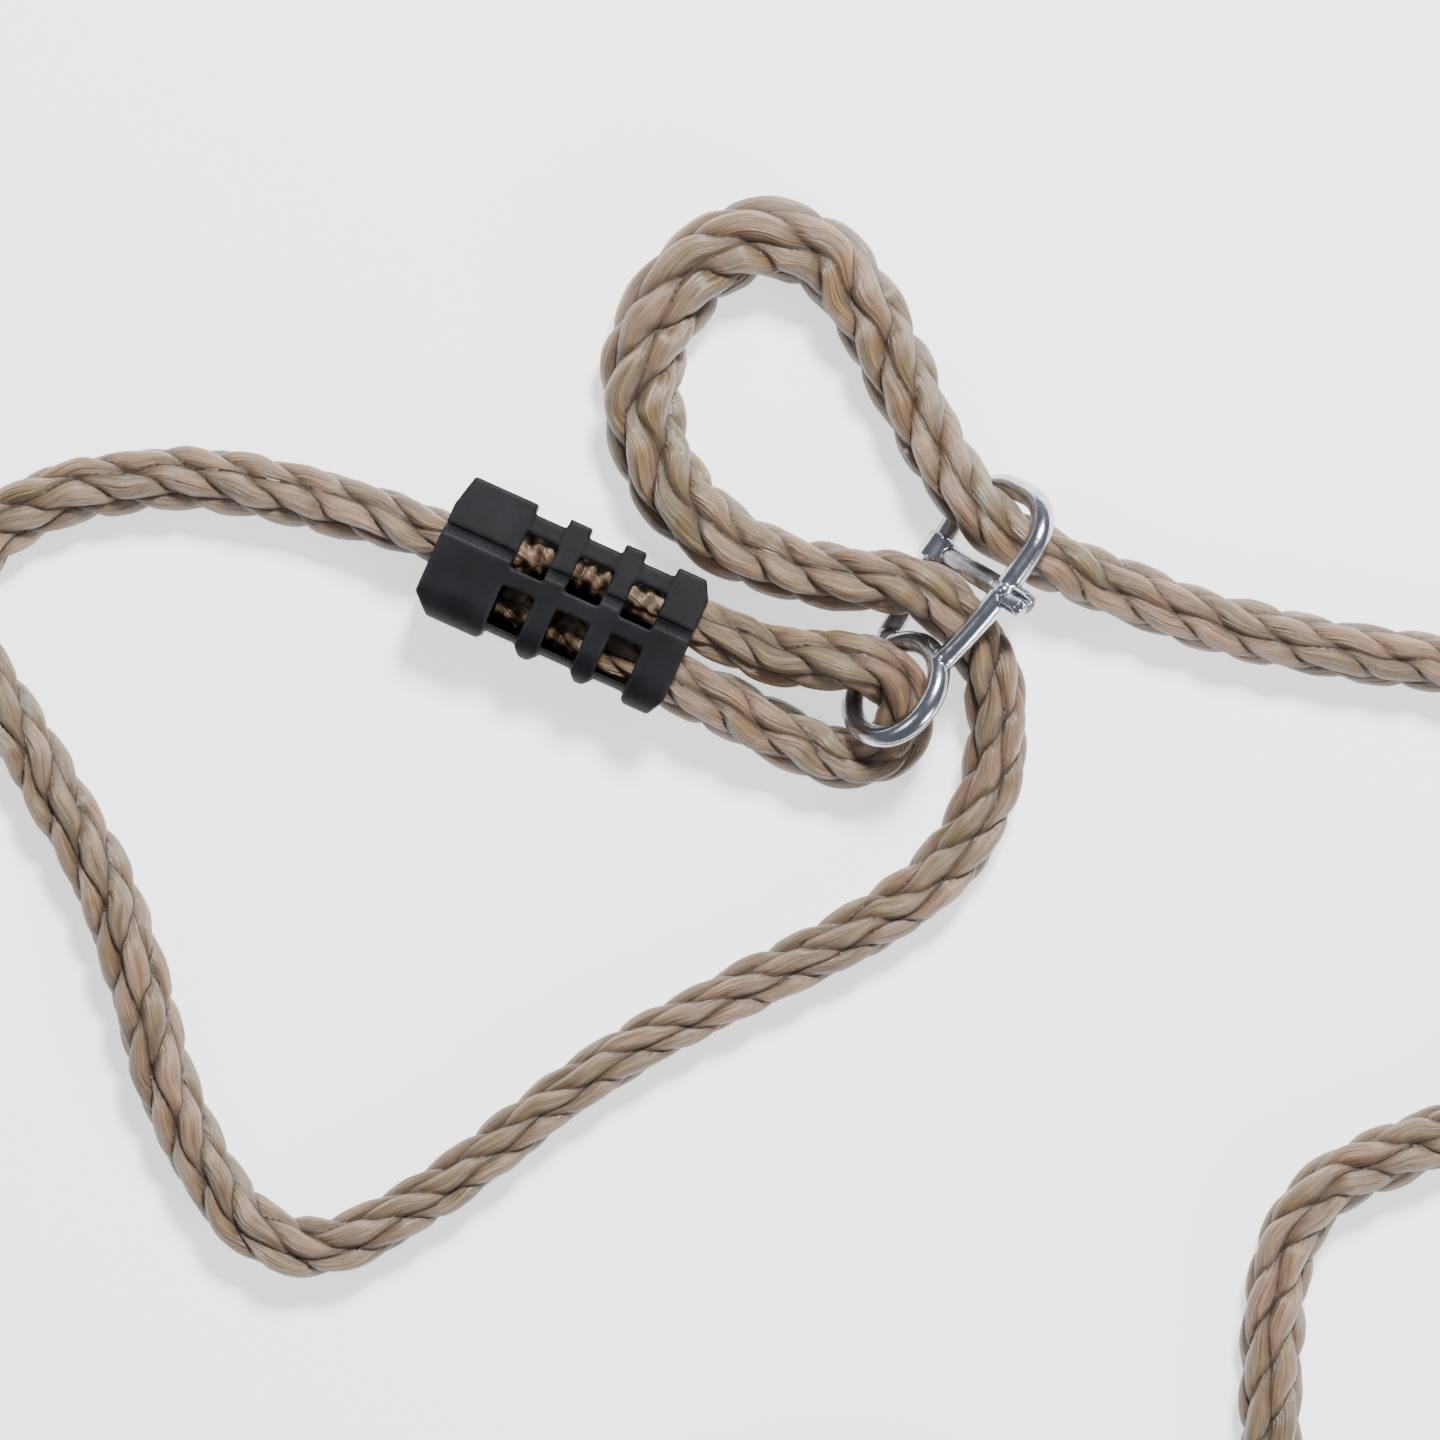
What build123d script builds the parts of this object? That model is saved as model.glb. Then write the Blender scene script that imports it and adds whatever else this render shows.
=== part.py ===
"""Adjustable playground suspension rope, millimetres, +Z up, origin under the near clamp's middle.

One limp 10 mm plaited rope lies on a flat surface. A two-shell clamp holds its near end back on
itself as an eye, which is reeved through the ring of a wire length adjuster. The rope's other
part goes round a long loop, twice through the adjuster's bow, and off to a coil and to a second
clamp with a hanging eye.
"""
from build123d import *
from math import cos, radians, sin, sqrt, tan
import os

# ---- driving dimensions -------------------------------------------------------------------
# Rope.
ROPE_D = 10.0
ROPE_R = ROPE_D / 2
GRIPPED_R = 4.4                     # where a clamp squeezes it
LOW = ROPE_R                        # height of the centreline on the ground

# Clamp, in its own frame: length along X, the two gripped strands side by side in Y.
CLAMP_L = 43.6
CLAMP_H = 16.0
CLAMP_MID = CLAMP_H / 2
RIB_HALF = 11.85                    # half width over collars and ribs
BODY_HALF = 10.2                    # half width between them
BIG_CORNER = 5.5
CROWN_EDGE = 1.5                    # flat crown ends here
SHOULDER = 2.6
SHOULDER_Z = 15.2
CREASE = 3.2                        # the two shells meet in this crease
CREASE_Z = 13.7
FLANGE_Z = 12.7                     # the flange's outer edge
STRAND_Y = 4.7                      # each gripped strand's distance from the middle
CAVITY_R = 4.5
BORE_R = 5.1                        # the closed collar's hole for one strand
LEFT_COLLAR_END = -9.4
RIGHT_COLLAR = 15.3
RIBS = [(-3.7, 0.1), (6.1, 9.7)]
WINDOWS_X = [(-9.4, -3.7), (0.1, 6.1), (9.7, 15.3)]
WINDOWS_Y = [(-8.95, -2.35), (0.75, 6.95)]
TOOTH_X = [-12.6, -1.8, 7.9, 17.2, 19.7]
TOOTH_W = 0.9
TOOTH_DEPTH = 0.7
# Corners taken off, seen from above: X and Y of the corner, then the cut along X and along Y.
CORNERS = [
    (-CLAMP_L / 2, RIB_HALF, 1.3, 5.4),
    (-CLAMP_L / 2, -RIB_HALF, 3.0, 3.0),
    (CLAMP_L / 2, RIB_HALF, 1.6, 2.9),
    (CLAMP_L / 2, -RIB_HALF, 1.6, 2.9),
    (LEFT_COLLAR_END, -RIB_HALF, 0.8, 0.8),
    (RIGHT_COLLAR, -RIB_HALF, 0.6, 0.6),
    (RIBS[0][0], -RIB_HALF, 1.2, 1.2),
    (RIBS[0][1], -RIB_HALF, 1.2, 1.2),
    (RIBS[1][0], -RIB_HALF, 1.2, 1.2),
    (RIBS[1][1], -RIB_HALF, 1.2, 1.2),
]

# Adjuster: round steel wire, long axis X from the ring's centre, Y towards the back bar.
WIRE_D = 3.7
WIRE_R = WIRE_D / 2
RING_R = 8.5
BOW_START = (9.0, -5.5)
BOW_START_HEADING = -14.0
BOW_SWEEP_R = 74.0
BOW_SWEEP = 17.0
BOW_BEND_R = 7.6
BOW_FIRST_BEND = 90.0
BOW_NOSE = 4.0
BOW_SECOND_BEND = 93.8
BOW_BACK_END_X = 6.5
PIN_X = 22.8
PIN_R = 1.9
PIN_Z = -0.9
PIN_TIP_Y = -12.9
PIN_EYE_OUTER = 2.65
PIN_EYE_WIDTH = 4.4
PIN_SLIT = 0.7
WELD_R = 2.5

# Where things stand.
CLAMP_PLACE = Rot(0, 0, -24.2)
ADJUSTER_CENTRE = (53.66, -15.04, 11.3)
ADJUSTER_PLACE = Pos(*ADJUSTER_CENTRE) * Rot(0, 0, 55) * Rot(0, 1.5, 0) * Rot(-47.5, 0, 0)
FAR_CLAMP_X = -32.0
FAR_CLAMP_Y = -241.5
FAR_CLAMP_PLACE = Pos(FAR_CLAMP_X, FAR_CLAMP_Y, 0) * Rot(0, 0, 180)
COIL_X = 59.0
COIL_Y = -200.5
COIL_OUTER_R = 55.0
COIL_INNER_R = 45.0
COIL_TOP_R = 50.0
COIL_CORNER = 4.0
COIL_TOP_Z = LOW + sqrt(ROPE_D**2 - (ROPE_D / 2) ** 2)

# ---- the rope's route: corners of its centreline, chosen by hand ---------------------------
# Inside the clamp, in the clamp's own frame.
TAIL_IN_CLAMP = [(-9.0, -STRAND_Y, CLAMP_MID), (CLAMP_L / 2, -STRAND_Y, CLAMP_MID)]
STANDING_IN_CLAMP = [
    (CLAMP_L / 2, STRAND_Y, CLAMP_MID),
    (-1.5, STRAND_Y, CLAMP_MID),
    (-13.5, 0.6, CLAMP_MID),
    (-CLAMP_L / 2, 0.6, CLAMP_MID),
]
# The closed eye, from the clamp's lower strand round the adjuster's ring to its upper strand.
EYE = [
    (17.8, -13.55, CLAMP_MID),
    (25.0, -16.9, 7.9),
    (33.5, -21.4, 6.0),
    (42.6, -26.0, LOW),
    (50.6, -26.4, LOW),
    (55.2, -21.6, 6.4),
    (54.8, -15.2, 9.9),
    (50.0, -10.6, 12.9),
    (43.0, -10.3, 12.4),
    (35.0, -9.8, 9.8),
    (28.4, -7.2, 8.1),
    (21.9, -4.3, CLAMP_MID),
]
# From the clamp's collar to the coil: four stretches that meet halfway along the run between
# one's last corner and the next one's first.
LEFT_RUN = [
    (-19.64, 9.48, CLAMP_MID),
    (-27.5, 12.3, 7.6),
    (-36.5, 15.0, 5.4),
    (-48.0, 17.8, LOW),
    (-62.0, 19.6, LOW),
    (-76.0, 18.4, LOW),
    (-87.0, 14.4, LOW),
    (-95.0, 8.2, LOW),
    (-98.3, 1.2, LOW),
]
MAIN_LOOP = [
    (-97.0, -7.4, LOW),
    (-90.6, -17.8, LOW),
    (-82.4, -31.6, LOW),
    (-74.2, -46.2, LOW),
    (-69.3, -60.0, LOW),
    (-65.6, -75.5, LOW),
    (-59.0, -91.5, LOW),
    (-50.5, -103.2, LOW),
    (-39.5, -106.4, LOW),
    (-27.5, -101.0, LOW),
    (-12.0, -90.6, LOW),
    (4.0, -77.2, LOW),
    (25.0, -65.6, LOW),
    (45.0, -56.2, LOW),
    (58.8, -47.6, LOW),
    (66.6, -38.2, LOW),
    (70.2, -27.0, LOW),
    (70.4, -17.0, 6.4),
    (68.6, -9.6, 8.0),
]
SLACK_LOOP = [
    (62.2, -1.2, 9.7),
    (55.6, 2.2, 11.0),
    (46.5, 2.8, 8.4),
    (37.0, 4.6, 5.6),
    (26.0, 9.0, LOW),
    (17.0, 17.0, LOW),
    (12.4, 28.6, LOW),
    (13.2, 41.0, LOW),
    (19.4, 51.8, LOW),
    (30.0, 58.8, LOW),
    (41.2, 56.4, LOW),
    (48.6, 47.4, LOW),
    (54.4, 36.0, LOW),
    (59.4, 25.8, 6.2),
    (64.2, 17.4, 9.4),
    (70.6, 10.2, 9.6),
]
HANGING_RUN = [
    (79.6, 5.3, 8.2),
    (88.5, 1.7, 5.8),
    (99.0, -2.2, LOW),
    (111.0, -5.9, LOW),
    (126.0, -8.9, LOW),
    (143.0, -10.8, LOW),
    (157.5, -15.4, LOW),
    (165.5, -26.5, LOW),
    (168.0, -42.0, LOW),
    (165.5, -58.5, LOW),
    (158.5, -74.0, LOW),
    (147.5, -85.5, LOW),
    (132.0, -91.0, LOW),
    (121.2, -97.0, LOW),
    (116.0, -107.0, LOW),
    (114.3, -122.0, LOW),
    (114.6, -143.0, LOW),
    (115.6, -164.0, LOW),
    (115.4, -183.5, LOW),
    (114.0, -200.5, LOW),
]
RUN = {
    "rope_left_run": LEFT_RUN,
    "rope_main_loop": MAIN_LOOP,
    "rope_slack_loop": SLACK_LOOP,
    "rope_hanging_run": HANGING_RUN,
}
# Off the coil's top turn, down over its outer turn and into the far clamp.
FAR_RUN = [
    (62.5, -250.4, COIL_TOP_Z),
    (50.5, -249.9, 14.8),
    (38.5, -248.5, 15.8),
    (27.0, -246.7, 15.6),
    (15.5, -244.7, 12.2),
    (3.5, -242.5, 9.2),
    (-10.2, -242.1, CLAMP_MID),
]
# The open hanging eye, in the far clamp's own frame.
FAR_EYE = [
    (21.8, 5.03, CLAMP_MID),
    (28.5, 5.8, 7.8),
    (36.5, 9.4, 5.6),
    (46.5, 14.2, LOW),
    (56.0, 13.2, LOW),
    (62.6, 5.6, LOW),
    (62.6, -5.6, LOW),
    (56.0, -13.2, LOW),
    (46.5, -14.2, LOW),
    (36.5, -9.4, 5.6),
    (28.5, -5.8, 7.8),
    (21.8, -5.03, CLAMP_MID),
]


# ---- the rope -------------------------------------------------------------------------------
def corner_radius(before, corner, after):
    """Radius that leaves a tenth of the shorter run straight."""
    arriving = Vector(*corner) - Vector(*before)
    leaving = Vector(*after) - Vector(*corner)
    turn = radians(arriving.get_angle(leaving))
    return 0.45 * min(arriving.length, leaving.length) / tan(turn / 2)


def corner_radii(points):
    """The radius at each corner of a route."""
    return [corner_radius(*three) for three in zip(points, points[1:], points[2:])]


def centreline(points, radii):
    """Straight runs with a tangent arc at every corner."""
    return FilletPolyline(*points, radius=radii) if radii else Line(*points)


def tube(path, radius):
    """Round rope along a path."""
    return sweep(Plane(origin=path @ 0, z_dir=path % 0) * Circle(radius), path=path)


def rope(points, radius=ROPE_R):
    """Round rope along its route."""
    return tube(centreline(points, corner_radii(points)), radius)


def halfway(start, end):
    """The middle of a straight run."""
    return tuple((a + b) / 2 for a, b in zip(start, end))


def run_centrelines(run):
    """Centreline of each stretch of one rope. Neighbours share a straight run, half each."""
    names = list(run)
    route = [point for name in names for point in run[name]]
    radii = [None, *corner_radii(route), None]
    lines = {}
    first = 0
    for name in names:
        last = first + len(run[name]) - 1
        points = route[first : last + 1]
        bends = radii[first : last + 1]
        if first > 0:
            points = [halfway(route[first - 1], route[first]), *points]
            bends = [None, *bends]
        if last < len(route) - 1:
            points = [*points, halfway(route[last], route[last + 1])]
            bends = [*bends, None]
        lines[name] = centreline(points, bends[1:-1])
        first = last + 1
    return lines


# ---- the clamp ------------------------------------------------------------------------------
def clamp_outline(half_width, corner, crown):
    """Section across the clamp: the same after half a turn about its middle."""
    side_low = (-half_width, CLAMP_H - FLANGE_Z)
    side_top = (-half_width, crown - corner)
    bend_middle = (
        -half_width + corner * (1 - cos(radians(45))),
        crown - corner * (1 - sin(radians(45))),
    )
    crown_start = (-half_width + corner, crown)
    upper = Polyline(side_low, side_top)
    upper += ThreePointArc(side_top, bend_middle, crown_start)
    upper += Polyline(
        crown_start,
        (CROWN_EDGE, crown),
        (SHOULDER, SHOULDER_Z),
        (CREASE, CREASE_Z),
        (half_width, FLANGE_Z),
    )
    lower = upper.rotate(Axis((0, CLAMP_MID, 0), (0, 0, 1)), 180)
    return make_face(upper.edges() + lower.edges())


def along(face, start, end):
    """A section in (Y, Z) drawn out from one X to another."""
    return extrude(Plane.YZ.offset(start) * face, amount=end - start)


def block(x, y, z):
    """A box between three pairs of limits."""
    size = [high - low for low, high in (x, y, z)]
    middle = [(high + low) / 2 for low, high in (x, y, z)]
    return Pos(*middle) * Box(*size)


def clamp_cavity():
    """Room for two strands at the mouth, closing to a hole for one in the left collar."""
    strands = Pos(0, CLAMP_MID) * SlotCenterToCenter(2 * STRAND_Y, 2 * CAVITY_R)
    hole = Pos(0, CLAMP_MID) * Circle(BORE_R)
    half = CLAMP_L / 2
    throat = loft([Plane.YZ.offset(-half + 5) * hole, Plane.YZ.offset(LEFT_COLLAR_END) * strands])
    return along(hole, -half - 1, -half + 5) + throat + along(strands, LEFT_COLLAR_END, half + 1)


def corner_cuts():
    """Upright prisms that take the corners off the clamp's collars and ribs."""
    outlines = [
        Polygon((x - dx, y), (x, y - dy), (x + dx, y), (x, y + dy), align=None)
        for x, y, dx, dy in CORNERS
    ]
    return [extrude(Pos(0, 0, -1) * outline, amount=CLAMP_H + 2) for outline in outlines]


def clamp_top_shell():
    """The upper J-shaped shell, its corners still square. The lower one is this one turned over."""
    half = CLAMP_L / 2
    ribs = [(-half, LEFT_COLLAR_END), *RIBS, (RIGHT_COLLAR, half)]
    shell = along(clamp_outline(BODY_HALF, BIG_CORNER, CLAMP_H), -half, half)
    for start, end in ribs:
        shell += along(clamp_outline(RIB_HALF, BIG_CORNER, CLAMP_H), start, end)
    shell -= clamp_cavity()
    for x in WINDOWS_X:
        for low, high in WINDOWS_Y:
            shell -= block(x, (low, high), (CLAMP_MID, CLAMP_H + 1))
            shell -= block(x, (-high, -low), (-1, CLAMP_MID))
    for x in TOOTH_X:
        teeth_y = (-2.0, CREASE) if x < LEFT_COLLAR_END else (-8.2, CREASE)
        top = CLAMP_MID + CAVITY_R
        shell += block((x - TOOTH_W / 2, x + TOOTH_W / 2), teeth_y, (top - TOOTH_DEPTH, top + 0.4))
    reach = CLAMP_H * 2
    zone = Polygon(
        (-reach, -reach),
        (-CREASE, -reach),
        (-CREASE, CLAMP_MID),
        (CREASE, CLAMP_MID),
        (CREASE, reach),
        (-reach, reach),
        align=None,
    )
    return shell & along(zone, -half - 1, half + 1)


# ---- the adjuster ---------------------------------------------------------------------------
def heading_vector(heading):
    """Unit vector in the adjuster's plane."""
    return Vector(cos(radians(heading)), sin(radians(heading)))


def bend(start, heading, radius, turn):
    """A left-hand arc from a point and heading, with where it ends."""
    centre = start + heading_vector(heading + 90) * radius
    middle = centre + heading_vector(heading - 90 + turn / 2) * radius
    end = centre + heading_vector(heading - 90 + turn) * radius
    return ThreePointArc(start, middle, end), end, heading + turn


def adjuster_bow():
    """Front bar, nose and back bar bent from one wire."""
    front, at, heading = bend(Vector(*BOW_START), BOW_START_HEADING, BOW_SWEEP_R, BOW_SWEEP)
    first, at, heading = bend(at, heading, BOW_BEND_R, BOW_FIRST_BEND)
    nose_end = at + heading_vector(heading) * BOW_NOSE
    nose = Line(at, nose_end)
    second, at, heading = bend(nose_end, heading, BOW_BEND_R, BOW_SECOND_BEND)
    back_length = (BOW_BACK_END_X - at.X) / cos(radians(heading))
    back = Line(at, at + heading_vector(heading) * back_length)
    path = Wire([*front.edges(), *first.edges(), *nose.edges(), *second.edges(), *back.edges()])
    section = Plane(origin=path @ 0, z_dir=path % 0) * Circle(WIRE_R)
    return sweep(section, path=path)


def adjuster_ring():
    """The closed ring that the eye is reeved through."""
    return Torus(RING_R, WIRE_R)


def back_bar_y(x):
    """Where the back bar's centreline is at a place along the adjuster."""
    end_heading = BOW_START_HEADING + BOW_SWEEP + BOW_FIRST_BEND + BOW_SECOND_BEND
    at = bend(Vector(*BOW_START), BOW_START_HEADING, BOW_SWEEP_R, BOW_SWEEP)[1]
    at = bend(at, BOW_START_HEADING + BOW_SWEEP, BOW_BEND_R, BOW_FIRST_BEND)[1]
    heading = BOW_START_HEADING + BOW_SWEEP + BOW_FIRST_BEND
    at = at + heading_vector(heading) * BOW_NOSE
    at = bend(at, heading, BOW_BEND_R, BOW_SECOND_BEND)[1]
    return at.Y + (x - at.X) * tan(radians(end_heading))


def adjuster_crossbar(bow):
    """Pin between the bars: rolled round the back one, notched under the front one, slit tip."""
    eye_y = back_bar_y(PIN_X)
    length = eye_y - PIN_TIP_Y
    pin = Pos(PIN_X, eye_y - length / 2, PIN_Z) * Rot(90, 0, 0) * Cylinder(PIN_R, length)
    eye = Pos(PIN_X, eye_y, 0) * Rot(0, 90, 0) * Cylinder(PIN_EYE_OUTER, PIN_EYE_WIDTH)
    slit_y = (PIN_TIP_Y - 1, PIN_TIP_Y + 3.2)
    slit = block((PIN_X, PIN_X + PIN_SLIT), slit_y, (PIN_Z - 0.4, PIN_Z + PIN_R + 1))
    return pin + eye - slit - bow


def weld(x, y):
    """Bead where an end of the bow is joined to the ring."""
    return Pos(x, y, 0) * Sphere(WELD_R)


# ---- the coil -------------------------------------------------------------------------------
def coil():
    """Outer shape of three turns: two flat on the ground and one lying in the groove between."""
    width = COIL_OUTER_R - COIL_INNER_R + ROPE_D
    section = Pos(COIL_TOP_R, LOW) * RectangleRounded(width, ROPE_D, COIL_CORNER)
    ground_turns = revolve(Plane.XZ * section, Axis.Z)
    top_turn = Pos(0, 0, COIL_TOP_Z) * Torus(COIL_TOP_R, ROPE_R)
    return Pos(COIL_X, COIL_Y, 0) * (ground_turns + top_turn)


# ---- build ----------------------------------------------------------------------------------
square_shell = clamp_top_shell()
top_shell = square_shell - corner_cuts()
bottom_shell = Pos(0, 0, CLAMP_H) * Rot(180, 0, 0) * square_shell - corner_cuts()
ring = adjuster_ring()
bow = adjuster_bow() - ring
crossbar = adjuster_crossbar(bow)
front_weld = weld(BOW_START[0] - 0.4, BOW_START[1] + 0.2)
back_weld = weld(BOW_BACK_END_X, back_bar_y(BOW_BACK_END_X) - 0.6)
rope_in_clamp = rope(STANDING_IN_CLAMP, GRIPPED_R)
tail_in_clamp = rope(TAIL_IN_CLAMP, GRIPPED_R)
run_lines = run_centrelines(RUN)

nodes = {
    "clamp_top_shell": CLAMP_PLACE * top_shell,
    "clamp_bottom_shell": CLAMP_PLACE * bottom_shell,
    "adjuster_ring": ADJUSTER_PLACE * ring,
    "adjuster_bow": ADJUSTER_PLACE * bow,
    "adjuster_crossbar": ADJUSTER_PLACE * crossbar,
    "adjuster_front_weld": ADJUSTER_PLACE * front_weld,
    "adjuster_back_weld": ADJUSTER_PLACE * back_weld,
    "rope_tail_in_clamp": CLAMP_PLACE * tail_in_clamp,
    "rope_in_clamp": CLAMP_PLACE * rope_in_clamp,
    "rope_eye": rope(EYE),
    **{name: tube(line, ROPE_R) for name, line in run_lines.items()},
    "rope_coil": coil(),
    "rope_far_run": rope(FAR_RUN),
    "rope_in_far_clamp": FAR_CLAMP_PLACE * rope_in_clamp,
    "rope_far_eye": FAR_CLAMP_PLACE * rope(FAR_EYE),
    "rope_far_tail": FAR_CLAMP_PLACE * tail_in_clamp,
    "far_clamp_top_shell": FAR_CLAMP_PLACE * top_shell,
    "far_clamp_bottom_shell": FAR_CLAMP_PLACE * bottom_shell,
}
os.makedirs("parts", exist_ok=True)
for name, solid in nodes.items():
    export_step(solid, f"parts/{name}.step")

for name, line in run_lines.items():
    print(f"{name}: {line.length:.0f} mm")
routes = {"eye": EYE, "run": sum(RUN.values(), []), "far run": FAR_RUN, "far eye": FAR_EYE}
for name, points in routes.items():
    radii = corner_radii(points)
    shown = " ".join(f"{radius:.0f}" for radius in radii)
    print(f"{name}: {centreline(points, radii).length:.0f} mm, corner radii {shown}")
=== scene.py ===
"""The playground suspension rope's looks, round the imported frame, in metres."""
import math
import random

import bmesh
import bpy
import numpy as np
from mathutils import Matrix, Vector


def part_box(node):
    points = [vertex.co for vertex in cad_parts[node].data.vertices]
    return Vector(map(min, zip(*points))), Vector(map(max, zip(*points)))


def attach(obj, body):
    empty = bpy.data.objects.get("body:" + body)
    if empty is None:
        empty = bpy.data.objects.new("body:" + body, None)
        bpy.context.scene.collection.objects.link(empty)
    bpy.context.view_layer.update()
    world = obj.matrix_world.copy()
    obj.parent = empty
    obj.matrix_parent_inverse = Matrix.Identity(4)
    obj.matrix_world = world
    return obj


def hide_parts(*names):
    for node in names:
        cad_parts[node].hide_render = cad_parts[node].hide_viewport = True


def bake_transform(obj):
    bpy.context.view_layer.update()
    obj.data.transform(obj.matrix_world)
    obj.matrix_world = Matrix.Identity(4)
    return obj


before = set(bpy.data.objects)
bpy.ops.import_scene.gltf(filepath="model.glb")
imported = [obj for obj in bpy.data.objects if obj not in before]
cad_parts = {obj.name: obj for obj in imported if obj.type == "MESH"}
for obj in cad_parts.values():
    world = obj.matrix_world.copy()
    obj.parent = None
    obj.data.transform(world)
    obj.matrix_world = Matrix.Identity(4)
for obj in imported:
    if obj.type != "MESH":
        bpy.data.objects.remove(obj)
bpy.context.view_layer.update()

# ---- the rope's route: the control points of its centreline ---------------------------------
# The rope's end in a clamp, in the clamp's own frame.
TAIL_END = (-0.009, -0.0041, 0.0084)
EYE = [
    (0.0178, -0.01355, 0.008),
    (0.025, -0.0169, 0.0079),
    (0.0335, -0.0214, 0.006),
    (0.0426, -0.026, 0.005),
    (0.0506, -0.0264, 0.005),
    (0.0552, -0.0216, 0.0064),
    (0.0548, -0.0152, 0.0099),
    (0.05, -0.0106, 0.0129),
    (0.043, -0.0103, 0.0124),
    (0.035, -0.0098, 0.0098),
    (0.0284, -0.0072, 0.0081),
    (0.0219, -0.0043, 0.008),
]
# The rope that runs on through a clamp, in the clamp's own frame.
STANDING_IN_CLAMP = [
    (0.0120, 0.0057, 0.0084),
    (0.0005, 0.0060, 0.0084),
    (-0.0070, 0.0054, 0.0083),
    (-0.0140, 0.0010, 0.008),
]
LEFT_RUN = [
    (-0.01964, 0.00948, 0.008),
    (-0.0275, 0.0123, 0.0076),
    (-0.0365, 0.015, 0.0054),
    (-0.048, 0.0178, 0.005),
    (-0.062, 0.0196, 0.005),
    (-0.076, 0.0184, 0.005),
    (-0.087, 0.0144, 0.005),
    (-0.095, 0.0082, 0.005),
    (-0.0983, 0.0012, 0.005),
]
MAIN_LOOP = [
    (-0.097, -0.0074, 0.005),
    (-0.0906, -0.0178, 0.005),
    (-0.0824, -0.0316, 0.005),
    (-0.0742, -0.0462, 0.005),
    (-0.0693, -0.06, 0.005),
    (-0.0656, -0.0755, 0.005),
    (-0.059, -0.0915, 0.005),
    (-0.0505, -0.1032, 0.005),
    (-0.0395, -0.1064, 0.005),
    (-0.0275, -0.101, 0.005),
    (-0.012, -0.0906, 0.005),
    (0.004, -0.0772, 0.005),
    (0.025, -0.0656, 0.005),
    (0.045, -0.0562, 0.005),
    (0.0588, -0.0476, 0.005),
    (0.0666, -0.0382, 0.005),
    (0.0702, -0.027, 0.005),
    (0.0704, -0.017, 0.0064),
    (0.0686, -0.0096, 0.008),
]
SLACK_LOOP = [
    (0.0622, -0.0012, 0.0097),
    (0.0556, 0.0022, 0.011),
    (0.0465, 0.0028, 0.0084),
    (0.037, 0.0046, 0.0056),
    (0.026, 0.009, 0.005),
    (0.017, 0.017, 0.005),
    (0.0124, 0.0286, 0.005),
    (0.0132, 0.041, 0.005),
    (0.0194, 0.0518, 0.005),
    (0.03, 0.0588, 0.005),
    (0.0412, 0.0564, 0.005),
    (0.0486, 0.0474, 0.005),
    (0.0544, 0.036, 0.005),
    (0.0594, 0.0258, 0.0062),
    (0.0642, 0.0174, 0.0094),
    (0.0706, 0.0102, 0.0096),
]
HANGING_RUN = [
    (0.0796, 0.0053, 0.0082),
    (0.0885, 0.0017, 0.0058),
    (0.099, -0.0022, 0.005),
    (0.111, -0.0059, 0.005),
    (0.126, -0.0089, 0.005),
    (0.143, -0.0108, 0.005),
    (0.1575, -0.0154, 0.005),
    (0.1655, -0.0265, 0.005),
    (0.168, -0.042, 0.005),
    (0.1655, -0.0585, 0.005),
    (0.1585, -0.074, 0.005),
    (0.1475, -0.0855, 0.005),
    (0.132, -0.091, 0.005),
    (0.1212, -0.097, 0.005),
    (0.116, -0.107, 0.005),
    (0.1143, -0.122, 0.005),
    (0.1146, -0.143, 0.005),
    (0.1156, -0.164, 0.005),
    (0.1154, -0.1835, 0.005),
    (0.114, -0.2005, 0.005),
]
FAR_RUN = [
    (0.0625, -0.2504, 0.01366),
    (0.0505, -0.2499, 0.0148),
    (0.0385, -0.2485, 0.0158),
    (0.027, -0.2467, 0.0156),
    (0.0155, -0.2447, 0.0122),
    (0.0035, -0.2425, 0.0092),
    (-0.0102, -0.2421, 0.008),
]
# In the far clamp's own frame.
FAR_EYE = [
    (0.0218, 0.00503, 0.008),
    (0.0285, 0.0058, 0.0078),
    (0.0365, 0.0094, 0.0056),
    (0.0465, 0.0142, 0.005),
    (0.056, 0.0132, 0.005),
    (0.0626, 0.0056, 0.005),
    (0.0626, -0.0056, 0.005),
    (0.056, -0.0132, 0.005),
    (0.0465, -0.0142, 0.005),
    (0.0365, -0.0094, 0.0056),
    (0.0285, -0.0058, 0.0078),
    (0.0218, -0.00503, 0.008),
]

ROPE_D = 0.010
ROPE_R = ROPE_D / 2
CLAMP_TURN = math.radians(-24.2)
FAR_CLAMP_AT = (-0.032, -0.2415)
COIL_CENTRE = (0.059, -0.2005)
# Degrees wound round the coil, and the centreline's radius and height there.
COIL = [
    (0, 0.0550, 0.0050),
    (290, 0.0550, 0.0050),
    (375, 0.0452, 0.0050),
    (600, 0.0452, 0.0050),
    (630, 0.0458, 0.0082),
    (660, 0.0490, 0.0134),
    (700, 0.0505, 0.0151),
    (740, 0.0500, 0.0139),
    (806, 0.0500, 0.01366),
]
COIL_STEP = 24                      # degrees between control points


def near_clamp(p):
    """A point of the near clamp's frame in the row's frame."""
    c, s = math.cos(CLAMP_TURN), math.sin(CLAMP_TURN)
    return (c * p[0] - s * p[1], s * p[0] + c * p[1], p[2])


def far_clamp(p):
    """A point of the far clamp's frame in the row's frame."""
    return (FAR_CLAMP_AT[0] - p[0], FAR_CLAMP_AT[1] - p[1], p[2])


def coil_points():
    """The coil's turns, wound clockwise seen from above."""
    wound, radii, heights = zip(*COIL)
    out = []
    for angle in range(COIL_STEP, wound[-1], COIL_STEP):
        r = np.interp(angle, wound, radii)
        z = np.interp(angle, wound, heights)
        a = math.radians(angle)
        out.append((COIL_CENTRE[0] + r * math.cos(a), COIL_CENTRE[1] - r * math.sin(a), z))
    return out


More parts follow.
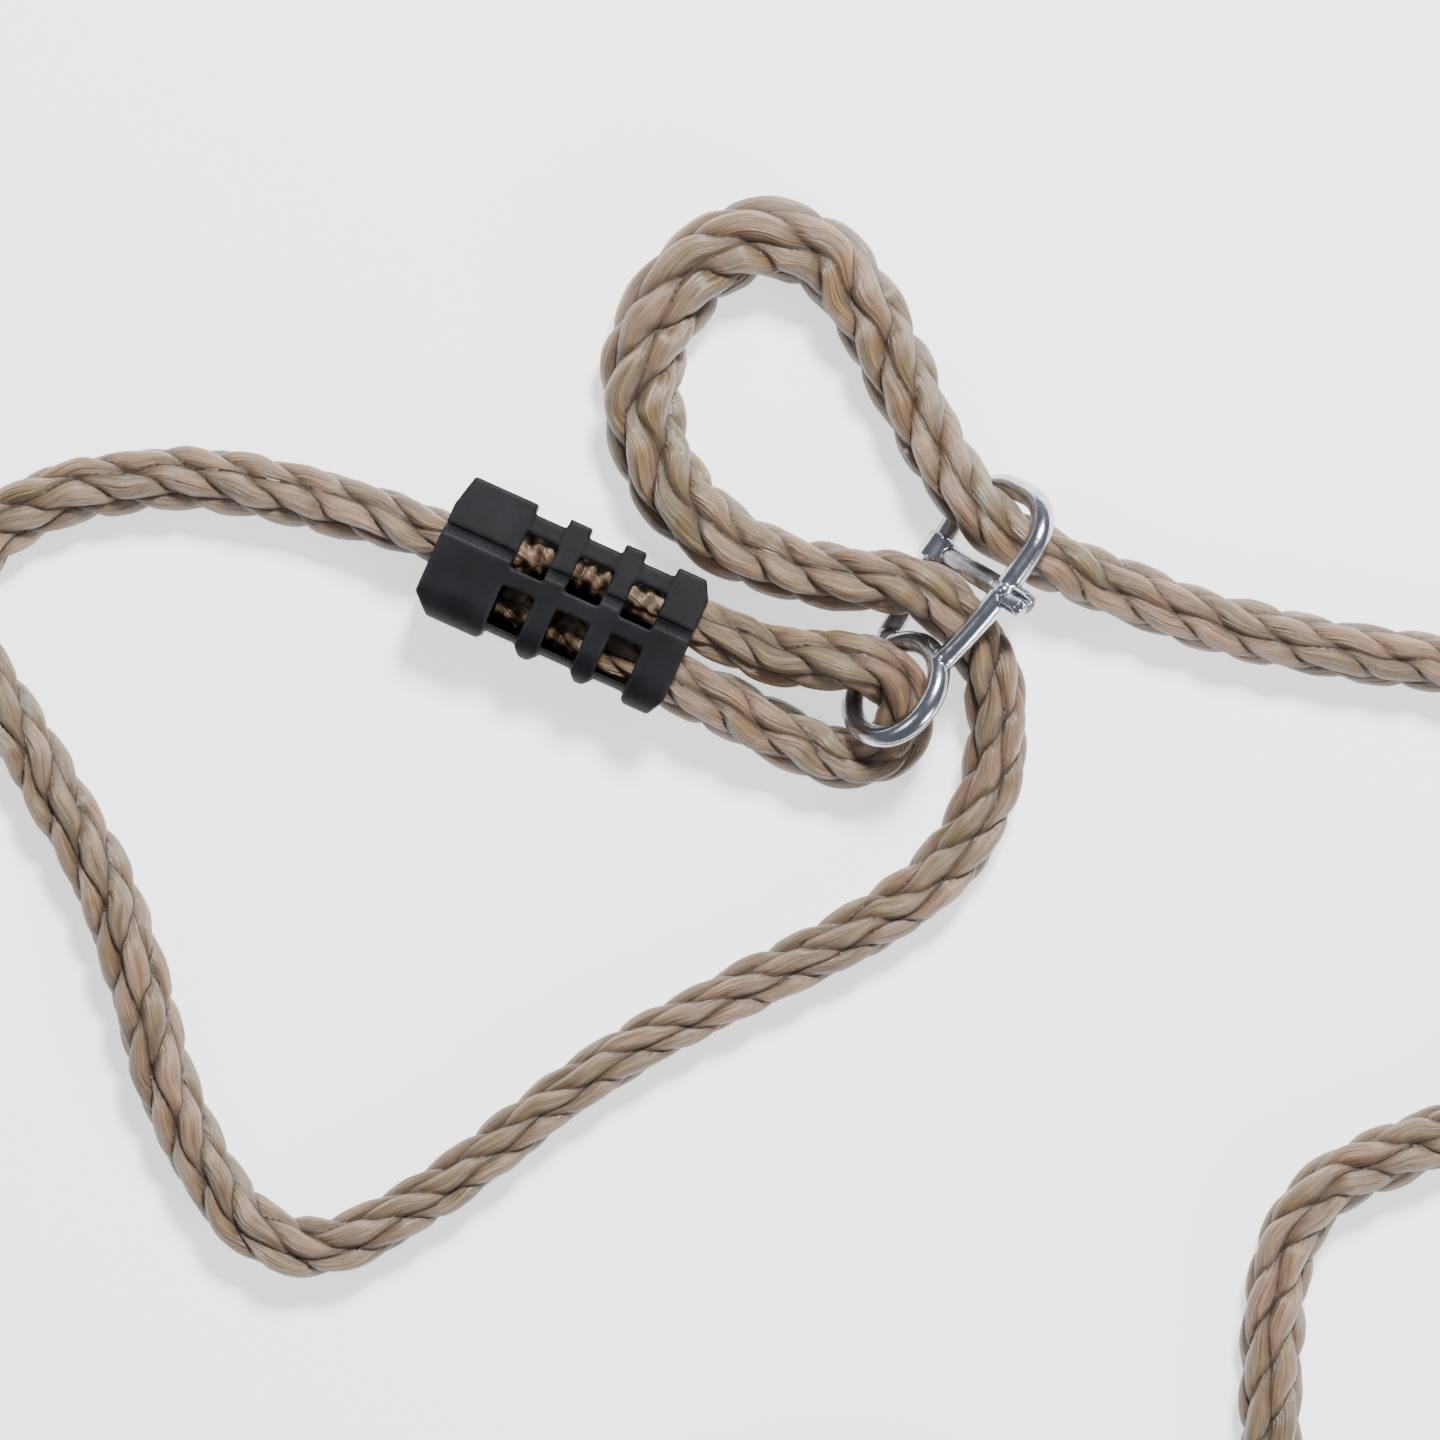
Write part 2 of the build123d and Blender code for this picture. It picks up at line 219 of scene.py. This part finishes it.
def spline_points(points):
    """What Blender draws of an order-3 NURBS spline through its control points."""
    data = bpy.data.curves.new("route", "CURVE")
    data.dimensions = "3D"
    data.resolution_u = 24
    spline = data.splines.new("NURBS")
    spline.points.add(len(points) - 1)
    for point, co in zip(spline.points, points):
        point.co = (*co, 1.0)
    spline.order_u = 3
    spline.use_endpoint_u = True
    obj = bpy.data.objects.new("route", data)
    mesh = bpy.data.meshes.new_from_object(obj)
    line = np.array([v.co for v in mesh.vertices])
    bpy.data.objects.remove(obj)
    bpy.data.meshes.remove(mesh)
    bpy.data.curves.remove(data)
    return line


STRETCHES = [
    ("tail", [near_clamp(TAIL_END)]),
    ("eye", EYE),
    ("clamp", [near_clamp(p) for p in STANDING_IN_CLAMP]),
    ("left", LEFT_RUN),
    ("main", MAIN_LOOP),
    ("slack", SLACK_LOOP),
    ("hanging", HANGING_RUN),
    ("coil", coil_points()),
    ("far", FAR_RUN),
    ("far_clamp", [far_clamp(p) for p in reversed(STANDING_IN_CLAMP)]),
    ("far_eye", [far_clamp(p) for p in FAR_EYE]),
    ("far_tail", [far_clamp(TAIL_END)]),
]
ROUTE = [p for _, points in STRETCHES for p in points]

# ---- the rope's shape -----------------------------------------------------------------------
PETAL_PITCH = 0.0093                # along the rope, between strands showing in one column
LOOSE_PITCH = 0.55                  # how much the pitch grows with the girth over 1
COLUMNS = 5
COLUMN_WIDTH = 2 * math.pi * ROPE_R / COLUMNS
COLUMN_SHIFT = 4 / 5                # of a pitch, from one column to the next
CREASE_R = 0.0031
CROWN_R = 0.0054
FIBRE_LEAN = math.radians(9)
CRUSHED_LEAN = 0.9                  # radians more where a clamp crushes the plait
MIDDLE_HEIGHT = 0.0049              # least height of the centreline, times the girth
FLAT_HEIGHT = 0.0002                # height of what the ground flattens
FLAT_SHARE = 0.02                   # of the radius, added to that height
FINE = 0.0002                       # step of the route's fine polyline
# Thickness of the rope along each stretch, as a share of its 10 mm.
GIRTH = {
    "tail": (0.72,),
    "eye": (0.84, 0.97, 0.98, 0.97, 0.97, 0.98, 0.86),
    "clamp": (0.74,),
    "left": (0.90, 1.00, 1.02, 1.00, 1.00, 0.98),
    "main": (0.96, 0.98, 1.02, 1.00, 0.98, 0.95, 0.84, 0.82, 0.84, 0.86, 0.92, 1.00, 0.98),
    "slack": (0.98, 1.05, 1.18, 1.30, 1.34, 1.30, 1.18, 1.08, 0.98),
    "hanging": (0.96, 0.94, 0.90, 0.90, 0.95, 1.0, 1.0, 1.0, 1.0, 1.0),
    "coil": (1.0,),
    "far": (1.0, 1.0, 0.92),
    "far_clamp": (0.88,),
    "far_eye": (0.92, 1.0, 1.0, 1.0, 0.92),
    "far_tail": (0.88,),
}


def running_length(line):
    """Length along a polyline at each of its points."""
    steps = np.linalg.norm(np.diff(line, axis=0), axis=1)
    return np.concatenate([[0.0], np.cumsum(steps)])


def at_lengths(line, along, lengths):
    """Points of a polyline at given lengths."""
    return np.stack([np.interp(lengths, along, line[:, k]) for k in range(3)], axis=1)


def carried_frames(line):
    """Normals and sides that turn no more than the line does."""
    tangent = np.gradient(line, axis=0)
    tangent /= np.linalg.norm(tangent, axis=1)[:, None]
    normal = np.zeros_like(line)
    up = np.array([0.0, 0.0, 1.0])
    current = up - tangent[0] * (up @ tangent[0])
    for i, t in enumerate(tangent):
        current = current - t * (current @ t)
        current /= np.linalg.norm(current)
        normal[i] = current
    return normal, np.cross(tangent, normal)


route_line = spline_points(ROUTE)
route_along = running_length(route_line)
fine_along = np.arange(0.0, route_along[-1], FINE)
fine_line = at_lengths(route_line, route_along, fine_along)
fine_normal, fine_side = carried_frames(fine_line)

# Where each stretch ends: halfway along the run to the next one's first corner.
stretch_ends = []
for (_, points), (_, following) in zip(STRETCHES, STRETCHES[1:]):
    middle = (np.array(points[-1]) + np.array(following[0])) / 2
    after = stretch_ends[-1] if stretch_ends else 0.0
    gap = np.linalg.norm(fine_line - middle, axis=1)
    gap[fine_along <= after] = 1.0
    stretch_ends.append(float(fine_along[gap.argmin()]))
stretch_ends.append(float(fine_along[-1]))
stretch_starts = [0.0, *stretch_ends[:-1]]
SPAN = {name: (a, b) for (name, _), a, b in zip(STRETCHES, stretch_starts, stretch_ends)}

girth_at, girth_is = [], []
for name, (a, b) in SPAN.items():
    values = GIRTH[name]
    for k, value in enumerate(values):
        girth_at.append(a + (b - a) * (k + 0.5) / len(values))
        girth_is.append(value)

# Rows of strands passed along the rope: looser, thicker stretches have longer strands.
fine_girth = np.interp(fine_along, girth_at, girth_is)
fine_rows = np.cumsum(FINE / (PETAL_PITCH * (1 + LOOSE_PITCH * np.clip(fine_girth - 1, 0, 1))))


def crushed(along):
    """1 where the clamps crush the plait, 0 elsewhere."""
    near = np.zeros_like(along)
    for name in ("tail", "clamp", "far_clamp", "far_tail"):
        a, b = SPAN[name]
        near = np.maximum(near, np.clip(1.3 - np.abs(along - (a + b) / 2) / (b - a) * 2.2, 0, 1))
    return near


def wobble(x, seed):
    """Smooth unrepeating variation between about -1 and 1."""
    draw = random.Random(seed)
    total = np.zeros_like(x)
    for _ in range(5):
        total += np.sin(x * draw.uniform(60, 420) + draw.uniform(0, 6.3)) * draw.uniform(0.2, 0.5)
    return total / 1.2


def petal_random(column, row, seed):
    """A number between -1 and 1 for each petal, the part of a strand that shows."""
    mixed = np.sin(column * 127.1 + row * 311.7 + seed * 74.7) * 43758.5453
    return (mixed - np.floor(mixed)) * 2 - 1


def plait(along, angle):
    """Height of the plait's surface from 0 in a pit to about 1 on a strand's crown, the
    strand's tone, and where on its strand each point lies, in mm."""
    rows = np.interp(along, fine_along, fine_rows)
    crush = crushed(along)
    rows = rows + 0.06 * wobble(along, 3) + 0.03 * np.sin(2 * angle + 900 * along)
    column = angle * COLUMNS / (2 * math.pi)
    column = column + 0.12 * wobble(along, 5) + 0.05 * np.sin(angle + 500 * along)
    turns = np.floor(column / COLUMNS)
    column = column - COLUMNS * turns
    row = rows - COLUMN_SHIFT * column
    u = row - np.floor(row) - 0.5
    v = column - np.floor(column) - 0.5
    tone = petal_random(np.floor(column), np.floor(row), 1)
    lift = petal_random(np.floor(column), np.floor(row), 2)
    # A domed petal with a ridge along it, of its own height and leaning a little.
    rounded = 1 - 0.5 * ((2 * np.abs(u)) ** 2.4 + (2 * np.abs(v)) ** 2.2)
    ridge = np.clip(np.cos(math.pi * u) * np.cos(math.pi * v), 0, 1) ** 0.5
    height = 0.62 * rounded + 0.38 * ridge
    height = height * (1 + 0.10 * lift) + 0.10 * (u - v) * ridge
    # Fine lumps take the petals' place where the plait is crushed.
    lumps = 0.5 + 0.25 * np.sin(along * 2600 + 2 * angle) + 0.25 * np.sin(along * 1700 - 3 * angle)
    height = np.clip(height * (1 - 0.8 * crush) + 0.8 * lumps * crush, 0, 1.25)
    x = u * PETAL_PITCH + v * COLUMN_SHIFT * PETAL_PITCH
    y = v * COLUMN_WIDTH
    lean = FIBRE_LEAN + CRUSHED_LEAN * crush
    fibre_u = x * np.cos(lean) + y * np.sin(lean)
    fibre_v = -x * np.sin(lean) + y * np.cos(lean)
    narrowing = 0.55 + 0.45 * np.cos(math.pi * 0.8 * (u + v) / 2)
    fibre = np.stack([fibre_u * 1000, fibre_v * 1000 / narrowing, tone * 50], axis=-1)
    return height, tone, fibre


def new_object(name, data):
    """An object in the scene."""
    obj = bpy.data.objects.new(name, data)
    bpy.context.scene.collection.objects.link(obj)
    return obj


def grid_mesh(name, rings, count):
    """Mesh tube of rings of vertices, with flat ends of their own vertices."""
    total = len(rings)
    verts = np.concatenate([rings.reshape(-1, 3), rings[0], rings[-1]])
    i = np.arange(total - 1)[:, None] * count
    j = np.arange(count)[None, :]
    k = (j + 1) % count
    quads = np.stack([i + j, i + k, i + count + k, i + count + j], axis=-1).reshape(-1, 4)
    faces = [tuple(q) for q in quads.tolist()]
    faces.append(tuple(range((total + 1) * count - 1, total * count - 1, -1)))
    faces.append(tuple(range((total + 1) * count, (total + 2) * count)))
    mesh = bpy.data.meshes.new(name)
    mesh.from_pydata(verts.tolist(), [], faces)
    mesh.shade_smooth()
    return mesh


def with_ends(values):
    """Values of the tube's rings, with those of its two ends added."""
    return np.concatenate([values, values[:1], values[-1:]])


def rope_piece(name, start, end, step, around):
    """A length of the plaited rope as a mesh tube, with its centreline."""
    count = max(8, int((end - start) / step))
    lengths = np.linspace(start, end, count)
    index = np.clip((lengths / FINE).astype(int), 0, len(fine_along) - 1)
    centre = at_lengths(fine_line, fine_along, lengths)
    girth = np.interp(lengths, girth_at, girth_is)
    # Thick stretches stand higher on the ground.
    centre[:, 2] = np.maximum(centre[:, 2], MIDDLE_HEIGHT * girth)
    normal, side = fine_normal[index], fine_side[index]
    angle = np.arange(around) * 2 * math.pi / around
    along = np.repeat(lengths[:, None], around, axis=1)
    height, tone, fibre = plait(along, np.repeat(angle[None, :], count, axis=0))
    radius = (CREASE_R + (CROWN_R - CREASE_R) * height) * girth[:, None]
    out = (normal[:, None, :] * np.cos(angle)[None, :, None]
           + side[:, None, :] * np.sin(angle)[None, :, None])
    rings = centre[:, None, :] + out * radius[:, :, None]
    # What touches the ground is flattened there.
    rings[:, :, 2] = np.maximum(rings[:, :, 2], FLAT_HEIGHT + FLAT_SHARE * radius)
    mesh = grid_mesh(name, rings, around)
    # The crease value, low on crowns and high in pits, darkens the pits with painted shade in the
    # rope's material.
    for key, values in (("crease", (1 - height).clip(0, 1)), ("tone", tone)):
        layer = mesh.attributes.new(key, "FLOAT", "POINT")
        layer.data.foreach_set("value", with_ends(values).reshape(-1).astype(np.float32))
    layer = mesh.attributes.new("fibre", "FLOAT_VECTOR", "POINT")
    layer.data.foreach_set("vector", with_ends(fibre).reshape(-1).astype(np.float32))
    return new_object(name, mesh), centre


# ---- materials ------------------------------------------------------------------------------
STRAND_OLIVE = (0.126, 0.089, 0.044, 1)
STRAND_PINK = (0.194, 0.117, 0.069, 1)
# Painted shade in the pits between strands.
PIT_SHADE_BROWN = (0.060, 0.034, 0.018, 1)
PLASTIC_DARK = (0.0034, 0.0036, 0.0046, 1)
PLASTIC_LIGHT = (0.0066, 0.0070, 0.0086, 1)
PLASTIC_WORN = (0.024, 0.026, 0.031, 1)
ZINC_BRIGHT = (0.56, 0.58, 0.62, 1)
ZINC_DULL = (0.36, 0.38, 0.43, 1)
# Dark and light ends of the fibres' streaks and bundles, multiplied with the tint.
STREAK_SHADES = (0.40, 0.37, 0.33, 1), (1.75, 1.72, 1.66, 1)
BUNDLE_SHADES = (0.72, 0.71, 0.69, 1), (1.30, 1.28, 1.25, 1)


class Nodes:
    """A material's node tree, with short ways to add to it."""

    def __init__(self, name):
        self.material = bpy.data.materials.new(name)
        self.material.use_nodes = True
        self.tree = self.material.node_tree
        self.shader = self.tree.nodes["Principled BSDF"]

    def add(self, kind, settings=None, **inputs):
        node = self.tree.nodes.new(kind)
        for key, value in (settings or {}).items():
            setattr(node, key, value)
        for key, value in inputs.items():
            self.put(node, key.replace("_", " "), value)
        return node

    def put(self, node, key, value):
        socket = node.inputs[int(key)] if key.isdigit() else node.inputs[key]
        if isinstance(value, bpy.types.NodeSocket):
            self.tree.links.new(value, socket)
        else:
            socket.default_value = value

    def math(self, operation, a, b=0.5):
        node = self.add("ShaderNodeMath", {"operation": operation})
        self.put(node, "0", a)
        self.put(node, "1", b)
        return node.outputs[0]

    def mix(self, share, a, b, blend="MIX"):
        node = self.add("ShaderNodeMix", {"data_type": "RGBA", "blend_type": blend})
        self.put(node, "0", share)
        self.put(node, "6", a)
        self.put(node, "7", b)
        return node.outputs[2]

    def ramp(self, factor, stops):
        node = self.add("ShaderNodeValToRGB")
        elements = node.color_ramp.elements
        while len(elements) < len(stops):
            elements.new(0.5)
        for element, (place, colour) in zip(elements, stops):
            element.position = place
            element.color = colour if isinstance(colour, tuple) else (colour, colour, colour, 1)
        self.put(node, "Fac", factor)
        return node.outputs["Color"]

    def attribute(self, name):
        node = self.add("ShaderNodeAttribute", {"attribute_name": name})
        return node.outputs["Fac"], node.outputs["Vector"]

    def noise(self, vector, scale, detail=2.0, roughness=0.5):
        node = self.add("ShaderNodeTexNoise", Scale=scale, Detail=detail, Roughness=roughness)
        self.put(node, "Vector", vector)
        return node.outputs["Fac"]

    def scaled(self, vector, x, y, z):
        node = self.add("ShaderNodeMapping", Scale=(x, y, z))
        self.put(node, "Vector", vector)
        return node.outputs["Vector"]

    def bump(self, height, strength, distance, normal=None):
        node = self.add("ShaderNodeBump", Strength=strength, Distance=distance)
        self.put(node, "Height", height)
        if normal is not None:
            self.put(node, "Normal", normal)
        return node.outputs["Normal"]


def rope_material():
    """Satin split-film fibres, olive tan with pinkish strands, with painted shade darkening the
    pits to brown.
    """
    n = Nodes("rope_fibres")
    crease, _ = n.attribute("crease")
    tone, _ = n.attribute("tone")
    _, fibre = n.attribute("fibre")
    streak = n.noise(n.scaled(fibre, 0.14, 3.6, 1), 1.0, 4.0, 0.65)
    bundle = n.noise(n.scaled(fibre, 0.07, 0.9, 1), 1.0, 2.0)
    where = n.add("ShaderNodeTexCoord").outputs["Object"]
    patch = n.noise(where, 85.0, 3.0)
    # Half the tone, plus the node's own third input.
    tone01 = n.math("MULTIPLY_ADD", tone, 0.5)
    blush = n.math("ADD", n.math("MULTIPLY", patch, 0.65), n.math("MULTIPLY", tone01, 0.35))
    tint = n.mix(n.ramp(blush, [(0.30, 0.0), (0.68, 1.0)]), STRAND_OLIVE, STRAND_PINK)
    light = n.mix(n.ramp(streak, [(0.28, 0.0), (0.50, 0.5), (0.74, 1.0)]), *STREAK_SHADES)
    colour = n.mix(1.0, tint, light, "MULTIPLY")
    shade = n.mix(n.ramp(bundle, [(0.32, 0.0), (0.68, 1.0)]), *BUNDLE_SHADES)
    colour = n.mix(1.0, colour, shade, "MULTIPLY")
    # Painted shade: the deeper a pit between strands, the more its colour goes to the dark brown.
    painted_pit_shade = n.ramp(crease, [(0.18, 0.0), (0.45, 0.42), (0.78, 1.0)])
    colour = n.mix(painted_pit_shade, colour, PIT_SHADE_BROWN)
    n.put(n.shader, "Base Color", colour)
    n.put(n.shader, "Roughness", n.ramp(streak, [(0.25, 0.30), (0.75, 0.46)]))
    relief = n.bump(streak, 0.8, 0.0005, n.bump(bundle, 0.7, 0.0008))
    n.put(n.shader, "Normal", relief)
    n.put(n.shader, "Coat Normal", relief)
    n.shader.inputs["Specular IOR Level"].default_value = 0.65
    n.shader.inputs["Coat Weight"].default_value = 0.30
    n.shader.inputs["Coat Roughness"].default_value = 0.26
    n.shader.inputs["Sheen Weight"].default_value = 0.05
    n.shader.inputs["Sheen Roughness"].default_value = 0.4
    return n.material


def clamp_material():
    """Matte black moulded plastic with a fine grain and slightly worn, greyer edges."""
    n = Nodes("moulded_black")
    where = n.add("ShaderNodeTexCoord").outputs["Object"]
    grain = n.noise(where, 2600.0, 3.0, 0.6)
    cloud = n.noise(where, 160.0, 3.0)
    pointed = n.add("ShaderNodeNewGeometry").outputs["Pointiness"]
    worn = n.ramp(pointed, [(0.49, 0.0), (0.56, 1.0)])
    dusty = n.math("MULTIPLY", worn, n.ramp(cloud, [(0.35, 0.0), (0.7, 0.7)]))
    base = n.mix(n.ramp(cloud, [(0.3, 0.0), (0.7, 1.0)]), PLASTIC_DARK, PLASTIC_LIGHT)
    n.put(n.shader, "Base Color", n.mix(dusty, base, PLASTIC_WORN))
    n.put(n.shader, "Roughness", n.ramp(grain, [(0.2, 0.46), (0.8, 0.66)]))
    n.put(n.shader, "Normal", n.bump(grain, 0.22, 0.0001))
    n.shader.inputs["Specular IOR Level"].default_value = 0.12
    return n.material


def steel_material():
    """Bright galvanised wire with fine drawn lines and a little dulling."""
    n = Nodes("galvanised_wire")
    where = n.add("ShaderNodeTexCoord").outputs["Object"]
    dull = n.noise(where, 420.0, 4.0, 0.6)
    fine = n.noise(where, 2400.0, 2.0)
    zinc = n.mix(n.ramp(dull, [(0.35, 0.0), (0.7, 1.0)]), ZINC_BRIGHT, ZINC_DULL)
    n.put(n.shader, "Base Color", zinc)
    n.put(n.shader, "Roughness", n.ramp(dull, [(0.3, 0.13), (0.75, 0.30)]))
    n.put(n.shader, "Normal", n.bump(fine, 0.10, 0.0001, n.bump(dull, 0.15, 0.0003)))
    n.shader.inputs["Metallic"].default_value = 1.0
    return n.material


rope_look = rope_material()
clamp_look = clamp_material()
steel_look = steel_material()


# ---- the rope's pieces ----------------------------------------------------------------------
def lay_rope(name, first, last, step, around, nodes):
    """The rope from one stretch to another, in its finish, standing for the CAD's solids."""
    start, end = SPAN[first][0], SPAN[last][1]
    obj, centre = rope_piece(name, start, end, step, around)
    obj.data.materials.append(rope_look)
    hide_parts(*nodes)
    return obj, centre, end - start


eye_run = lay_rope("rope_eye_run", "tail", "left", 0.0004, 112,
                   ("rope_tail_in_clamp", "rope_eye", "rope_in_clamp", "rope_left_run"))
main_loop = lay_rope("rope_main_loop_plaited", "main", "main", 0.0004, 112, ("rope_main_loop",))
slack_loop = lay_rope("rope_slack_loop_plaited", "slack", "slack", 0.0003, 128,
                      ("rope_slack_loop",))
hanging_run = lay_rope("rope_hanging_run_plaited", "hanging", "hanging", 0.0004, 112,
                       ("rope_hanging_run",))
far_run = lay_rope("rope_far_run_plaited", "coil", "far_tail", 0.0011, 60,
                   ("rope_coil", "rope_far_run", "rope_in_far_clamp", "rope_far_eye",
                    "rope_far_tail"))
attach(eye_run[0], "root")
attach(slack_loop[0], "adjuster")
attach(far_run[0], "root")
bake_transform(main_loop[0])
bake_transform(hanging_run[0])


# ---- moulded and bent parts -----------------------------------------------------------------
CLAMP_AT = Matrix.Rotation(CLAMP_TURN, 4, "Z")
FAR_AT = Matrix.Translation((*FAR_CLAMP_AT, 0)) @ Matrix.Rotation(math.pi, 4, "Z")
ADJUSTER_AT = (Matrix.Translation((0.05366, -0.01504, 0.0113))
               @ Matrix.Rotation(math.radians(55), 4, "Z")
               @ Matrix.Rotation(math.radians(1.5), 4, "Y")
               @ Matrix.Rotation(math.radians(-47.5), 4, "X"))
WIRE_NODES = ["adjuster_ring", "adjuster_bow", "adjuster_crossbar"]
WELD_NODES = ["adjuster_front_weld", "adjuster_back_weld"]
WELD_SCALE = 0.80
# A thin plate under the rope closes the lower shells' windows so that they show dark.
DARK_PLATE_SIZE = (0.026, 0.0184, 0.0010)
DARK_PLATE_MIDDLE = (0.003, 0, 0.0030)     # in the clamp's own frame


def add_node(stock, node, scale=1.0):
    """Adds a CAD node's shape, drawn in about its middle if scale is under 1."""
    first = len(stock.verts)
    stock.from_mesh(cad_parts[node].data)
    stock.verts.ensure_lookup_table()
    middle = sum((Vector(corner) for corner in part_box(node)), Vector()) / 2
    bmesh.ops.scale(stock, vec=(scale, scale, scale), space=Matrix.Translation(-middle),
                    verts=stock.verts[first:])


def add_dark_plate(stock, place):
    """Adds a thin plate inside a lower shell, under the rope, that closes its windows so they show
    dark.
    """
    size = Matrix.Diagonal((*DARK_PLATE_SIZE, 1))
    bmesh.ops.create_cube(stock, size=1.0, matrix=place @ Matrix.Translation(DARK_PLATE_MIDDLE) @ size)


def add_capsule(stock, start, end, radius):
    """Adds a round-ended bar between two points of the adjuster's own frame."""
    a, b = ADJUSTER_AT @ Vector(start), ADJUSTER_AT @ Vector(end)
    turn = (b - a).to_track_quat("Z", "Y").to_matrix().to_4x4()
    bmesh.ops.create_cone(stock, cap_ends=True, segments=32, radius1=radius, radius2=radius,
                          depth=(b - a).length, matrix=Matrix.Translation((a + b) / 2) @ turn)
    for centre in (a, b):
        bmesh.ops.create_uvsphere(stock, u_segments=32, v_segments=16, radius=radius,
                                  matrix=Matrix.Translation(centre))


def refined(name, stock, nodes, voxel, smoothing, material, body):
    """One piece that stands for CAD nodes, with the soft edges of moulded or bent stock."""
    mesh = bpy.data.meshes.new(name)
    stock.to_mesh(mesh)
    stock.free()
    obj = new_object(name, mesh)
    remesh = obj.modifiers.new("remesh", "REMESH")
    remesh.mode = "VOXEL"
    remesh.voxel_size = voxel
    smooth = obj.modifiers.new("smooth", "SMOOTH")
    smooth.factor = 0.5
    smooth.iterations = smoothing
    bpy.context.view_layer.update()
    graph = bpy.context.evaluated_depsgraph_get()
    done = bpy.data.meshes.new_from_object(obj.evaluated_get(graph))
    obj.modifiers.clear()
    obj.data = done
    done.name = name
    done.materials.clear()
    done.materials.append(material)
    done.shade_smooth()
    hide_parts(*nodes)
    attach(obj, body)
    return obj


for prefix, voxel in (("", 0.0003), ("far_", 0.0005)):
    for half in ("top", "bottom"):
        node = f"{prefix}clamp_{half}_shell"
        shell_stock = bmesh.new()
        add_node(shell_stock, node)
        if half == "bottom":
            add_dark_plate(shell_stock, FAR_AT if prefix else CLAMP_AT)
        refined(f"{node}_moulded", shell_stock, [node], voxel, 3,
                                        clamp_look, "root")

wire_stock = bmesh.new()
for node in WIRE_NODES:
    add_node(wire_stock, node)
for node in WELD_NODES:
    add_node(wire_stock, node, WELD_SCALE)
# The crossbar's end is pressed over the front bar and split into a thick and a thin prong.
add_capsule(wire_stock, (0.0226, -0.0064, 0.0007), (0.0226, -0.0082, 0.0007), 0.0014)
add_capsule(wire_stock, (0.0215, -0.0075, 0.0003), (0.0215, -0.0120, -0.0003), 0.0013)
refined("adjuster_wire", wire_stock, WIRE_NODES + WELD_NODES, 0.00018, 10,
        steel_look, "adjuster")

# ---- studio ---------------------------------------------------------------------------------
VIEW_AT = (0.0254, -0.0200)
CAMERA_HEIGHT = 1.2
VIEW_WIDTH = 0.2341
SENSOR_WIDTH = 36.0                 # mm
FLOOR_HALF = 6


def floor():
    """The plain pale floor the rope lies on."""
    mesh = bpy.data.meshes.new("floor")
    corners = [(x * FLOOR_HALF, y * FLOOR_HALF, 0) for x, y in ((-1, -1), (1, -1), (1, 1), (-1, 1))]
    mesh.from_pydata(corners, [], [(0, 1, 2, 3)])
    n = Nodes("pale_floor")
    where = n.add("ShaderNodeTexCoord").outputs["Object"]
    pale = n.mix(n.noise(where, 3.0), (0.90, 0.90, 0.90, 1), (0.93, 0.93, 0.93, 1))
    n.put(n.shader, "Base Color", pale)
    n.shader.inputs["Roughness"].default_value = 0.9
    n.shader.inputs["Emission Color"].default_value = (1, 1, 1, 1)
    n.shader.inputs["Emission Strength"].default_value = 1.15
    mesh.materials.append(n.material)
    obj = new_object("floor", mesh)


def area_light(name, place, size, power):
    """A square softbox aimed at the middle of the view."""
    data = bpy.data.lights.new(name, "AREA")
    data.size = size
    data.energy = power
    obj = new_object(name, data)
    obj.location = place
    aim = Vector((*VIEW_AT, 0.0)) - obj.location
    obj.rotation_euler = aim.to_track_quat("-Z", "Y").to_euler()


def studio():
    """World, lights and the camera straight above."""
    world = bpy.data.worlds.new("studio")
    world.use_nodes = True
    background = world.node_tree.nodes["Background"]
    background.inputs["Color"].default_value = (0.80, 0.86, 1.0, 1)
    background.inputs["Strength"].default_value = 0.22
    bpy.context.scene.world = world
    area_light("key", (0.30, 0.80, 1.05), 0.28, 48.0)
    area_light("fill", (-1.0, 0.1, 1.1), 0.5, 4.0)
    area_light("low", (0.85, -0.75, 0.60), 0.40, 9.0)
    data = bpy.data.cameras.new("camera")
    data.sensor_width = SENSOR_WIDTH
    data.lens = SENSOR_WIDTH * CAMERA_HEIGHT / VIEW_WIDTH
    data.clip_start = 0.05
    camera = new_object("camera", data)
    camera.location = (*VIEW_AT, CAMERA_HEIGHT)
    bpy.context.scene.camera = camera


floor()
studio()
